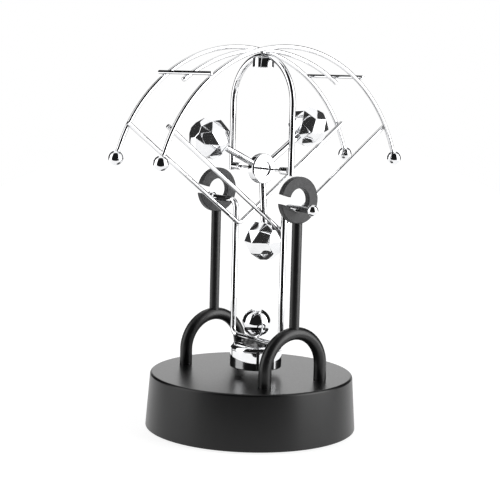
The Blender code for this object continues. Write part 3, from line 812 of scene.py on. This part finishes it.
def cross_bars():
    """A straight bar across the three arcs on each side, with a bead at each crossing."""
    for hand in ("left", "right"):
        node = f"{hand}_cross_bar"
        centre = middle(node)
        half = (high(node).y - low(node).y) / 2
        ends = [centre + Vector((0, y, 0)) for y in (-half, 0, half)]
        shape = wire(ends, BAR_WIRE, 24, 0.35 * MM)
        inward = (Vector((0, 0, PIVOT.z + ARC_CENTRE)) - Vector((centre.x, 0, centre.z))).normalized()
        for y in (middle("front_arc").y, PENDULUM_Y, middle("rear_arc").y):
            weld = Vector((centre.x, y, centre.z)) + inward * BAR_WIRE
            bead(shape, weld, (0, 1, 0), BAR_BEAD)
        piece(f"{hand}_bar", shape, "chrome", "pendulum", node, smooth=50, look=WIRE)


def middle_hoop():
    """The flatter arc: level with its CAD node's top, and on the cross bars' places."""
    bar_turn = math.radians(BAR_ANGLE)
    apex = high("middle_arc").z - ARC_WIRE - PIVOT.z
    under_x, under_z = ARC_RADIUS * math.cos(bar_turn), ARC_RADIUS * math.sin(bar_turn)
    sagitta = apex - ARC_CENTRE - under_z
    radius = (under_x ** 2 + sagitta ** 2) / (2 * sagitta)
    half = math.degrees(math.asin(under_x / radius) + MIDDLE_OVERHANG / radius)
    path = [on_pendulum(x, 0, apex - radius + z) for x, z in arc(radius, 90 + half, 90 - half, 80)]
    shape = wire(path, ARC_WIRE, 24, 0.4 * MM)
    piece("middle_hoop", shape, "chrome", "pendulum", "middle_arc", smooth=50, look=WIRE)


def tall_arch():
    """The inverted U that hangs from the middle arc and carries the rotor's axle."""
    start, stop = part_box("axle_arch")
    half_span = (stop.y - start.y) / 2 - AXLE_ARCH_WIRE
    top = stop.z - AXLE_ARCH_WIRE - PIVOT.z
    foot = start.z - PIVOT.z
    curve = [(0, x, top - half_span + z) for x, z in arc(half_span, 180, 0, 72)]
    path = [(0, -half_span, foot), *curve, (0, half_span, foot)]
    shape = wire([on_pendulum(*p) for p in path], AXLE_ARCH_WIRE, 32, 0.5 * MM)
    bead(shape, on_pendulum(0, 0, top + AXLE_ARCH_WIRE), (1, 0, 0), CROWN_BEAD)
    piece("tall_arch", shape, "chrome", "pendulum", "axle_arch", smooth=50, look=WIRE)


def crown_slug():
    """The small weight under the tall arch's crown."""
    node = "crown_weight"
    start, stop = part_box(node)
    radius = (stop.x - start.x) / 2
    height = stop.z - start.z
    corners = [(0, 0), (radius, 0), (radius, height), (0, height)]
    shape = lathe(eased(corners, (0.6 * MM, 0.6 * MM)), 72, (0, middle(node).y, start.z))
    bead(shape, (0, middle(node).y, stop.z), (0, 0, 1), SLUG_BEAD)
    piece("crown_slug", shape, "chrome", "pendulum", node)


def bearings():
    """Small barrels, bored from the side that faces the rotor, with one turned groove."""
    groove_start, groove_in, groove_out, groove_stop = BEARING_GROOVE
    for side, hand in (("front", -1), ("rear", 1)):
        node = f"{side}_axle_bearing"
        start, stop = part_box(node)
        length = stop.y - start.y + 0.6 * MM
        radius = (stop.z - start.z) / 2
        bore = AXLE_RADIUS + BEARING_BORE
        waist = radius - 0.2 * MM
        corners = [
            (0, BEARING_DEPTH), (bore, BEARING_DEPTH), (bore, 0), (radius, 0), (radius, groove_start),
            (waist, groove_in), (waist, groove_out), (radius, groove_stop), (radius, length), (0, length),
        ]
        radii = (0, 0.15 * MM, 0.4 * MM, *[0.05 * MM] * 4, 0.3 * MM)
        mouth = Vector((0, start.y if hand > 0 else stop.y, middle(node).z))
        shape = lathe(eased(corners, radii, 5), 48, mouth, (0, hand, 0))
        piece(f"{side}_bearing", shape, "chrome", "pendulum", node, look=WIRE)


def loop_ball():
    """The ball that stands on the loop's lower run."""
    node = "loop_ball"
    radius = (high(node).z - low(node).z) / 2
    shape = lathe(ball(radius, steps=48), 96, middle(node))
    seat = Vector((middle(node).x, middle(node).y, low(node).z))
    bead(shape, seat, (0, 1, 0), LOOP_BALL_BEAD)
    piece("bottom_ball", shape, "chrome", "pendulum", node)


def magnet_can():
    """An open-bottomed can with a seam round it and a rounded shoulder."""
    node = "magnet_cup"
    start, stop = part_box(node)
    radius = (stop.x - start.x) / 2
    height = stop.z - start.z
    bore, roof = radius - MAGNET_WALL, height - MAGNET_WALL
    seam = height - MAGNET_SEAM
    seam_half, seam_depth = 0.15 * MM, 0.35 * MM
    corners = [
        (0, roof), (bore, roof), (bore, 0), (radius, 0), (radius, seam - seam_half),
        (radius - seam_depth, seam), (radius, seam + seam_half), (radius, height), (0, height),
    ]
    radii = (0.3 * MM, 0.3 * MM, 0.7 * MM, 0.05 * MM, 0, 0.05 * MM, MAGNET_SHOULDER)
    place = Vector((middle(node).x, middle(node).y, start.z))
    shape = lathe(eased(corners, radii, 8), 160, place)
    piece("magnet_can", shape, "chrome", "pendulum", node)
    solder_mound(place + Vector((0, 0, height)))


def solder_mound(at):
    """The uneven solder that joins the loop's lower run to the magnet's can."""
    long, wide, tall = SOLDER_SIZE
    shape = bmesh.new()
    bmesh.ops.create_icosphere(shape, subdivisions=5, radius=1)
    for vert in shape.verts:
        x, y, z = vert.co
        lumps = 1 + 0.06 * math.sin(7 * y + 3 * x) + 0.05 * math.sin(11 * x - 4 * y + 1)
        vert.co = at + Vector((x * wide * lumps, y * long * lumps, max(z, -0.1) * tall * lumps))
    piece("solder_mound", shape, "steel", "pendulum", smooth=60, look="solder")


# ---------------------------------------------------------------- rotor

def cut_ball(centre, toward_hub, own_turn):
    """A ball cut in slightly swollen triangles between two eight-sided ends, its ridges rounded."""
    shape = bmesh.new()
    for ring_number, latitude in enumerate(FACET_LATITUDES):
        for k in range(FACET_SECTORS):
            turn = 2 * math.pi * (k + 0.5 * (ring_number % 2)) / FACET_SECTORS
            height = math.radians(latitude)
            flat = ROTOR_BALL * math.cos(height)
            shape.verts.new((flat * math.cos(turn), flat * math.sin(turn), ROTOR_BALL * math.sin(height)))
    bmesh.ops.convex_hull(shape, input=shape.verts)
    bmesh.ops.subdivide_edges(shape, edges=shape.edges, cuts=4, use_grid_fill=True)
    for vert in shape.verts:
        vert.co = vert.co.lerp(vert.co.normalized() * ROTOR_BALL, FACET_SWELL)
    ridges = [edge for edge in shape.edges if edge.calc_face_angle() > math.radians(10)]
    bmesh.ops.bevel(shape, geom=ridges, offset=FACET_RIDGE, segments=2, profile=0.5, affect="EDGES")
    lean = Vector((0, 0, -1)).rotation_difference(Vector(toward_hub)).to_matrix().to_4x4()
    shape.transform(Matrix.Translation(centre) @ lean @ Matrix.Rotation(math.radians(own_turn), 4, "Z"))
    return shape


def axle_and_hub():
    """The rotor's axle, and its hub: a short drum with both faces sunk round a small boss."""
    axle_low, axle_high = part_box("rotor_axle")
    ends = [Vector((0, y, AXLE.z)) for y in (axle_low.y, HUB.y, axle_high.y)]
    shape = wire(ends, AXLE_RADIUS, 24, 0.6 * MM)
    piece("spin_axle", shape, "chrome", "rotor", "rotor_axle", smooth=50, look=WIRE)

    start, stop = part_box("rotor_hub")
    radius = (stop.z - start.z) / 2
    half = (stop.y - start.y) / 2
    web = half - HUB_DEPTH
    boss = web + HUB_BOSS_RISE
    corners = [
        (AXLE_RADIUS, 0), (AXLE_RADIUS, -boss), (HUB_BOSS, -boss), (HUB_BOSS, -web),
        (HUB_RECESS, -web), (HUB_RECESS, -half), (radius, -half),
        (radius, half), (HUB_RECESS, half), (HUB_RECESS, web),
        (HUB_BOSS, web), (HUB_BOSS, boss), (AXLE_RADIUS, boss), (AXLE_RADIUS, 0.01 * MM),
    ]
    side_radii = [0.1 * MM, 0.15 * MM, 0.1 * MM, 0.1 * MM, 0.2 * MM, HUB_EDGE]
    hub = lathe(eased(corners, [*side_radii, *reversed(side_radii)], 6), 96, HUB, (0, 1, 0))
    piece("spin_hub", hub, "chrome", "rotor", "rotor_hub", look=WIRE)


def arms_and_balls():
    """Three arms a third of a turn apart, with a cut ball on each."""
    hub_radius = (high("rotor_hub").z - low("rotor_hub").z) / 2
    reaches = (hub_radius - 0.6 * MM, 20 * MM, ROTOR_ORBIT - ROTOR_BALL + 1.5 * MM)
    for k, own_turn in enumerate(BALL_TURNS):
        angle = math.radians(-90 + 120 * k + ROTOR_REST_TURN)
        out = Vector((math.cos(angle), 0, math.sin(angle)))
        arm = wire([HUB + out * reach for reach in reaches], ARM_RADIUS, 32)
        piece(f"spin_arm_{k + 1}", arm, "chrome", "rotor", f"rotor_arm_{k + 1}", smooth=60, look=WIRE)
        shape = cut_ball(HUB + out * ROTOR_ORBIT, -out, own_turn)
        piece(f"spin_ball_{k + 1}", shape, "plated_plastic", "rotor", f"rotor_ball_{k + 1}", smooth=8)


# ---------------------------------------------------------------- CAD pieces kept as they are

KEPT_NODES = {
    "coil_bobbin": "nylon",
    "coil_winding": "copper",
    "coil_core": "iron",
    "circuit_board": "board",
    "drive_magnet": "magnet",
    **{f"cover_screw_{k}": "steel" for k in (1, 2, 3)},
    **{f"arch_screw_{k}": "steel" for k in (1, 2, 3, 4)},
}


def kept_nodes():
    """Gives the remaining CAD nodes their materials."""
    for node, slot in KEPT_NODES.items():
        obj = frame["nodes"][node]
        obj.data.materials.clear()
        obj.data.materials.append(LOOKS[slot])


# ---------------------------------------------------------------- studio

def view_axes():
    """The photographed view's axes: right, level towards the camera, straight to it, and square to that."""
    azimuth, elevation = math.radians(VIEW_AZIMUTH), math.radians(VIEW_ELEVATION)
    right = Vector((math.cos(azimuth), math.sin(azimuth), 0))
    level = Vector((math.sin(azimuth), -math.cos(azimuth), 0))
    back = level * math.cos(elevation) + Vector((0, 0, math.sin(elevation)))
    return right, level, back, back.cross(right)


def camera():
    right, _, back, lifted = view_axes()
    roll = math.radians(VIEW_ROLL)
    tilted_right = right * math.cos(roll) + lifted * math.sin(roll)
    tilted_up = lifted * math.cos(roll) - right * math.sin(roll)
    data = bpy.data.cameras.new("camera")
    data.lens = FOCAL_LENGTH
    data.sensor_width = 36
    data.shift_x, data.shift_y = FRAME_SHIFT
    data.clip_start, data.clip_end = 0.05, 50
    obj = bpy.data.objects.new("camera", data)
    turn = Matrix((tilted_right, tilted_up, back)).transposed().to_4x4()
    obj.matrix_world = Matrix.Translation(VIEW_TARGET + back * VIEW_DISTANCE) @ turn
    bpy.context.scene.collection.objects.link(obj)
    bpy.context.scene.camera = obj


def floor():
    """A pale card, which ends a little in front of the toy as seen from the camera."""
    shape = bmesh.new()
    corners = [
        (-CARD_SIDE, -CARD_FRONT, 0), (CARD_SIDE, -CARD_FRONT, 0),
        (CARD_SIDE, CARD_BACK, 0), (-CARD_SIDE, CARD_BACK, 0),
    ]
    shape.faces.new([shape.verts.new(corner) for corner in corners])
    shape.transform(Matrix.Rotation(math.radians(VIEW_AZIMUTH), 4, "Z"))
    mesh = bpy.data.meshes.new("floor")
    shape.to_mesh(mesh)
    shape.free()
    made = shader("floor_card", (CARD_WHITE,) * 3, 0, 0.9, Emission_Strength=CARD_GLOW)
    principled(made).inputs["Emission Color"].default_value = (1, 1, 1, 1)
    tint(made, noise(made, 0.2, 2), (0.98 * CARD_WHITE,) * 3, (1.02 * CARD_WHITE,) * 3)
    mesh.materials.append(made)
    obj = bpy.data.objects.new("floor", mesh)
    bpy.context.scene.collection.objects.link(obj)


class Tent:
    """A white light tent as a world shader, with dark openings given by direction round the toy.

    Directions are measured along the photographed view: side is to its right, ahead is level towards the
    camera, up is the sky; and axis is straight to the camera, with lift square to it.
    """

    def __init__(self):
        world = bpy.data.worlds.new("light_tent")
        world.use_nodes = True
        bpy.context.scene.world = world
        self.tree = world.node_tree
        self.tree.nodes.clear()
        self.direction = self.tree.nodes.new("ShaderNodeTexCoord").outputs["Generated"]
        right, level, back, lifted = view_axes()
        self.side, self.ahead, self.up = (self.along(v) for v in (right, level, Vector((0, 0, 1))))
        self.axis, self.lift = self.along(back), self.along(lifted)

    def along(self, axis):
        """How far a direction points along an axis, from -1 to 1."""
        node = self.tree.nodes.new("ShaderNodeVectorMath")
        node.operation = "DOT_PRODUCT"
        node.inputs[1].default_value = axis
        self.tree.links.new(self.direction, node.inputs[0])
        return node.outputs["Value"]

    def math(self, operation, first, second=0.0):
        node = self.tree.nodes.new("ShaderNodeMath")
        node.operation = operation
        for socket, value in zip(node.inputs, (first, second)):
            if isinstance(value, (int, float)):
                socket.default_value = value
            else:
                self.tree.links.new(value, socket)
        return node.outputs[0]

    def ramp(self, value, start, stop, first, last, kind="SMOOTHSTEP"):
        """first below start, last above stop."""
        node = self.tree.nodes.new("ShaderNodeMapRange")
        node.interpolation_type = kind
        for key, number in zip(("From Min", "From Max", "To Min", "To Max"), (start, stop, first, last)):
            node.inputs[key].default_value = number
        self.tree.links.new(value, node.inputs["Value"])
        return node.outputs["Result"]

    def within(self, value, start, stop, soft):
        """1 between start and stop, fading over soft at each."""
        rising = self.ramp(value, start - soft / 2, start + soft / 2, 0, 1)
        return self.math("MULTIPLY", rising, self.ramp(value, stop - soft / 2, stop + soft / 2, 1, 0))

    def degrees(self, value):
        return self.math("MULTIPLY", value, 180 / math.pi)

    def opening(self, start, stop, width_start, width_stop, aside):
        """A dark strip from below the camera to overhead, narrowing faster towards the top.

        start and stop are pitches in degrees. The widths are half widths along side, and the strip's
        middle is aside to the left.
        """
        pitch = self.degrees(self.math("ARCTAN2", self.up, self.ahead))
        part = self.ramp(pitch, start, stop, 0, 1, "LINEAR")
        narrowing = self.math("MULTIPLY", self.math("MULTIPLY", part, part), width_start - width_stop)
        across = self.math("ABSOLUTE", self.math("ADD", self.side, aside))
        edge = self.math("ADD", self.math("SUBTRACT", across, width_start), narrowing)
        return self.math("MULTIPLY", self.ramp(edge, -0.02, 0.02, 1, 0), self.within(pitch, -90, stop, 4))

    def gap(self, near, far, bottom, top):
        """A dark band on both sides of the backdrop.

        near and far are degrees off the camera's direction, bottom and top degrees round it from level.
        The bottom edge starts level and slopes down to bottom.
        """
        off = self.degrees(self.math("ARCCOSINE", self.axis))
        round_it = self.degrees(self.math("ARCTAN2", self.lift, self.math("ABSOLUTE", self.side)))
        lower = self.ramp(off, near + 4, near + 16, 0, bottom, "LINEAR")
        above = self.ramp(self.math("SUBTRACT", round_it, lower), -3, 3, 0, 1)
        below = self.ramp(round_it, top - 3, top + 3, 1, 0)
        return self.math("MULTIPLY", self.within(off, near, far, 3), self.math("MULTIPLY", above, below))

    def close(self, *openings):
        """Lights the world with the tent. The camera itself sees plain white behind the toy."""
        total = openings[0]
        for dark in openings[1:]:
            total = self.math("MAXIMUM", total, dark)
        start, full = TENT_SIDES
        left = self.ramp(self.side, -full, -start, TENT_LEFT - TENT_WHITE, 0)
        right = self.ramp(self.side, start, full, 0, TENT_RIGHT - TENT_WHITE)
        back = self.ramp(self.ahead, *TENT_REAR, TENT_BACK, TENT_WHITE)
        white = self.math("ADD", back, self.math("ADD", left, right))
        closed = self.ramp(total, 0, 1, 1, 0, "LINEAR")
        light = self.math("MAXIMUM", self.math("MULTIPLY", white, closed), TENT_DARK)
        rays = self.tree.nodes.new("ShaderNodeLightPath")
        seen = self.math("MULTIPLY", self.math("SUBTRACT", 1.0, light), rays.outputs["Is Camera Ray"])
        background = self.tree.nodes.new("ShaderNodeBackground")
        background.inputs["Color"].default_value = (1, 1, 1, 1)
        self.tree.links.new(self.math("ADD", light, seen), background.inputs["Strength"])
        output = self.tree.nodes.new("ShaderNodeOutputWorld")
        self.tree.links.new(background.outputs["Background"], output.inputs["Surface"])


def studio():
    camera()
    floor()
    tent = Tent()
    above = tent.opening(start=-10, stop=88, width_start=0.84, width_stop=0.36, aside=0.04)
    beside = tent.gap(near=98, far=156, bottom=-14, top=68)
    tent.close(above, beside)
    bpy.context.scene.view_settings.view_transform = "Standard"


def main():
    base()
    feet()
    inner_parts()
    supports()
    loop_and_pins()
    v_wires()
    arcs()
    cross_bars()
    middle_hoop()
    tall_arch()
    crown_slug()
    bearings()
    loop_ball()
    magnet_can()
    axle_and_hub()
    arms_and_balls()
    kept_nodes()
    studio()


main()
